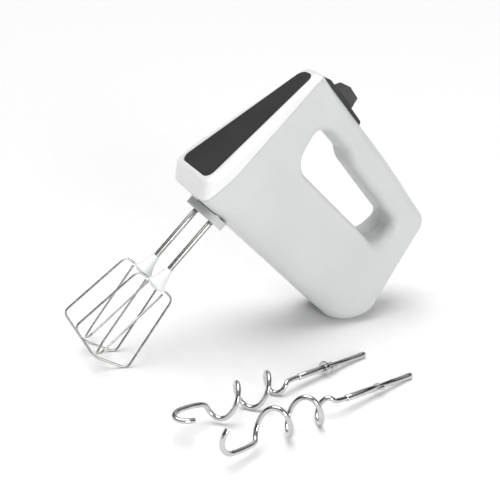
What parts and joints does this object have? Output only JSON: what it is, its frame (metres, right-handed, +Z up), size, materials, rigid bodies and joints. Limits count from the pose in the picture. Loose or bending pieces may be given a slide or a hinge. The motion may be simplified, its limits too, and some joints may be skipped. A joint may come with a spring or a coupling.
{
  "type": "hand mixer",
  "caption": "Electric hand mixer with a closed through-handle body, thumb selector, spinning wire beaters that pull out, and loose dough hooks lying beside it.",
  "frame": {"origin": "on the floor, below the middle of the bounding box of the mixer and its hooks", "axes": "+X from the beaters towards the heel and the rear, along the whole object's longest extent; +Y from the hooks towards the mixer; +Z up"},
  "size_m": [0.3246, 0.2142, 0.2224],
  "materials": {
    "shell_grey": "satin light grey moulding",
    "bezel_white": "satin white moulding",
    "charcoal": "fine textured dark grey",
    "collar_grey": "satin mid grey moulding",
    "chrome": "bright plated steel wire",
    "hub_white": "satin white moulding",
    "steel": "plain turned or pressed steel",
    "lamination": "stacked electrical steel sheet",
    "copper": "enamelled copper winding and bare copper bars",
    "carbon": "sintered carbon",
    "nylon": "natural nylon",
    "black_plastic": "black moulding"
  },
  "bodies": {
    "housing": {"left_housing": "shell_grey", "right_housing": "shell_grey", "front_bezel": "bezel_white", "front_panel": "charcoal", "control_strip": "charcoal", "socket_collar": "collar_grey", "gearbox_case": "nylon", "gearbox_lid": "nylon", "left_spindle_bush": "nylon", "right_spindle_bush": "nylon", "stator_core": "lamination", "upper_field_coil": "copper", "lower_field_coil": "copper", "front_motor_bracket": "steel", "rear_motor_bracket": "steel", "front_bearing": "steel", "rear_bearing": "steel", "left_brush": "carbon", "right_brush": "carbon", "left_brush_holder": "black_plastic", "right_brush_holder": "black_plastic", "speed_switch": "black_plastic", "terminal_block": "nylon", "cord_inlet_bush": "black_plastic", "housing_screw_1": "steel", "housing_screw_2": "steel", "housing_screw_3": "steel", "housing_screw_4": "steel"},
    "rotor": {"motor_shaft": "steel", "armature_core": "lamination", "front_winding": "copper", "rear_winding": "copper", "commutator": "copper", "cooling_fan": "nylon", "worm": "steel"},
    "left_drive": {"left_spindle": "steel", "left_worm_wheel": "nylon"},
    "right_drive": {"right_spindle": "steel", "right_worm_wheel": "nylon"},
    "left_beater": {"left_beater_stem": "chrome", "left_beater_hub": "hub_white", "left_wide_loop": "chrome", "left_crossed_loop": "chrome"},
    "right_beater": {"right_beater_stem": "chrome", "right_beater_hub": "hub_white", "right_wide_loop": "chrome", "right_crossed_loop": "chrome"},
    "selector": {"selector_knob": "charcoal", "selector_shoe": "nylon"},
    "ejector": {"ejector_yoke": "nylon"},
    "left_hook": {"left_hook_stem": "chrome", "left_hook_wire": "chrome"},
    "right_hook": {"right_hook_stem": "chrome", "right_hook_disc": "chrome", "right_hook_wire": "chrome"}
  },
  "joints": [
    {"name": "motor_spin", "type": "hinge", "parent": "housing", "child": "rotor", "pos_m": [0.01385, 0.07052, 0.09197], "axis": [0.7095, 0, -0.7047], "continuous": true},
    {"name": "left_drive_spin", "type": "hinge", "parent": "housing", "child": "left_drive", "pos_m": [-0.02872, 0.05652, 0.13425], "axis": [0.7047, 0, 0.7095], "continuous": true},
    {"name": "right_drive_spin", "type": "hinge", "parent": "housing", "child": "right_drive", "pos_m": [-0.02872, 0.08452, 0.13425], "axis": [0.7047, 0, 0.7095], "continuous": true},
    {"name": "left_beater_release", "type": "slide", "parent": "left_drive", "child": "left_beater", "axis": [-0.7047, 0, -0.7095], "range_m": [0, 0.04]},
    {"name": "right_beater_release", "type": "slide", "parent": "right_drive", "child": "right_beater", "axis": [-0.7047, 0, -0.7095], "range_m": [0, 0.04]},
    {"name": "selector_travel", "type": "slide", "parent": "housing", "child": "selector", "axis": [0.6414, 0, -0.7672], "range_m": [-0.006, 0.014]},
    {"name": "ejector_push", "type": "slide", "parent": "housing", "child": "ejector", "axis": [-0.7047, 0, -0.7095], "range_m": [0, 0.004], "stiffness_N_per_m": 400, "springref_m": -0.002},
    {"name": "left_hook_lift", "type": "slide", "parent": "housing", "child": "left_hook", "axis": [0, 0, 1], "range_m": [0, 0.05]},
    {"name": "right_hook_lift", "type": "slide", "parent": "housing", "child": "right_hook", "axis": [0, 0, 1], "range_m": [0, 0.05]}
  ],
  "couplings": [
    {"joint": "left_drive_spin", "follows": "motor_spin", "ratio": 0.066667},
    {"joint": "right_drive_spin", "follows": "motor_spin", "ratio": -0.066667}
  ]
}
